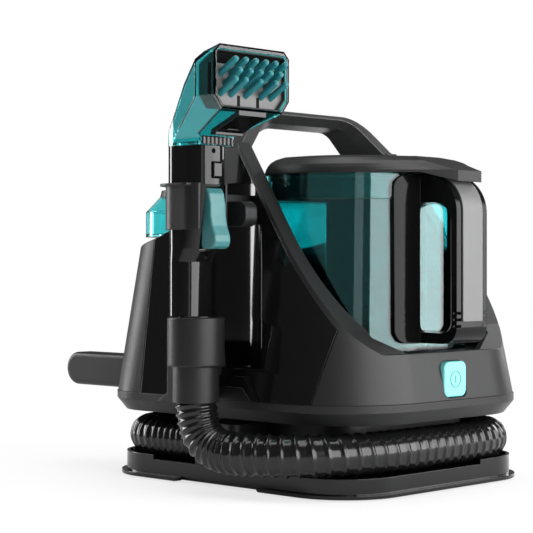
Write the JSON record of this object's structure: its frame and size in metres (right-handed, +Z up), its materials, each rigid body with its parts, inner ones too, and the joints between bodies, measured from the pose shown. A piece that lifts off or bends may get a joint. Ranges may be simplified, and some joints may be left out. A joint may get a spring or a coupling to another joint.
{
  "type": "spot extractor",
  "caption": "Portable spot cleaner with twin lift-out tanks, a hose stored round its waist and a docked brush tool.",
  "frame": {"origin": "on the floor under the middle of the base", "axes": "+Z up, front with the dirty tank and the power button is -Y, the docked hand tool is at -X"},
  "size_m": [0.3445, 0.4072, 0.367],
  "materials": {
    "satin_black": "fine satin, dark grey black",
    "gloss_black": "polished black",
    "teal_clear": "clear teal plastic",
    "teal_solid": "satin light teal",
    "teal_peg": "satin teal",
    "grip_grey": "pale satin grey",
    "hose_black": "smooth black hose",
    "foot_rubber": "matt",
    "board_green": "printed board",
    "motor_steel": "brushed",
    "inner_grey": "plain moulded",
    "float_white": "plain moulded"
  },
  "bodies": {
    "main_body": {"base_tray": "gloss_black", "base_plate": "satin_black", "rubber_feet": "foot_rubber", "waist_core": "satin_black", "lower_housing": "satin_black", "carry_handle": "satin_black", "left_side_panel": "gloss_black", "right_side_panel": "gloss_black", "front_shell": "satin_black", "rear_cover": "satin_black", "tank_deck": "satin_black", "hose_cuff": "satin_black", "dock_bracket": "satin_black", "tool_clip": "satin_black", "hose_inlet": "satin_black", "hose": "hose_black", "fan_housing": "inner_grey", "motor_can": "motor_steel", "water_pump": "inner_grey", "control_board": "board_green", "switch_box": "inner_grey", "suction_duct": "inner_grey", "cord_posts": "satin_black", "cord_gland": "foot_rubber"},
    "button": {"power_button": "teal_solid"},
    "hand_tool": {"tool_stem": "gloss_black"},
    "tool_trigger": {"trigger": "teal_solid"},
    "tool_latch": {"head_latch": "gloss_black"},
    "tool_head": {"brush_head": "teal_clear", "brush_plate": "gloss_black", "brush_pegs": "teal_peg", "spray_nozzle": "gloss_black", "neck_ring": "gloss_black"},
    "dirty_tank": {"dirty_tank_body": "teal_clear", "tank_handle": "gloss_black", "grip_plate": "grip_grey", "tank_baffle": "satin_black"},
    "tank_lid": {"dirty_tank_lid": "satin_black", "lid_gasket": "foot_rubber", "standpipe": "satin_black"},
    "float": {"float_ring": "float_white"},
    "clean_tank": {"clean_tank_body": "teal_clear", "clean_tank_top": "satin_black"},
    "cap": {"filler_cap": "satin_black"},
    "valve": {"valve_pin": "float_white"},
    "rotor": {"impeller": "inner_grey", "motor_shaft": "motor_steel"}
  },
  "joints": [
    {"name": "power_button_press", "type": "slide", "parent": "main_body", "child": "button", "axis": [0, 1, 0], "range_m": [0, 0.0025], "stiffness_N_per_m": 600},
    {"name": "hand_tool_lift", "type": "slide", "parent": "main_body", "child": "hand_tool", "axis": [0, 0, 1], "range_m": [0, 0.16]},
    {"name": "trigger_squeeze", "type": "hinge", "parent": "hand_tool", "child": "tool_trigger", "pos_m": [-0.166, -0.035, 0.25], "axis": [1, 0, 0], "range_deg": [0, 5], "stiffness_Nm_per_rad": 0.8},
    {"name": "head_latch_press", "type": "slide", "parent": "hand_tool", "child": "tool_latch", "axis": [0, 1, 0], "range_m": [0, 0.002], "stiffness_N_per_m": 400},
    {"name": "brush_head_pull", "type": "slide", "parent": "hand_tool", "child": "tool_head", "axis": [0, 0, 1], "range_m": [0, 0.035]},
    {"name": "dirty_tank_lift", "type": "slide", "parent": "main_body", "child": "dirty_tank", "axis": [0, 0, 1], "range_m": [0, 0.18]},
    {"name": "tank_lid_lift", "type": "slide", "parent": "dirty_tank", "child": "tank_lid", "axis": [0, 0, 1], "range_m": [0, 0.14]},
    {"name": "float_rise", "type": "slide", "parent": "tank_lid", "child": "float", "axis": [0, 0, 1], "range_m": [0, 0.012]},
    {"name": "clean_tank_lift", "type": "slide", "parent": "main_body", "child": "clean_tank", "axis": [0, 0, 1], "range_m": [0, 0.13]},
    {"name": "filler_cap_open", "type": "hinge", "parent": "clean_tank", "child": "cap", "pos_m": [-0.052, 0.109, 0.264], "axis": [-1, 0, 0], "range_deg": [0, 95]},
    {"name": "valve_pin_rise", "type": "slide", "parent": "clean_tank", "child": "valve", "axis": [0, 0, 1], "range_m": [0, 0.003], "stiffness_N_per_m": 150},
    {"name": "fan_spin", "type": "hinge", "parent": "main_body", "child": "rotor", "pos_m": [0.022, 0.082, 0.08], "axis": [0, 0, 1], "continuous": true}
  ]
}
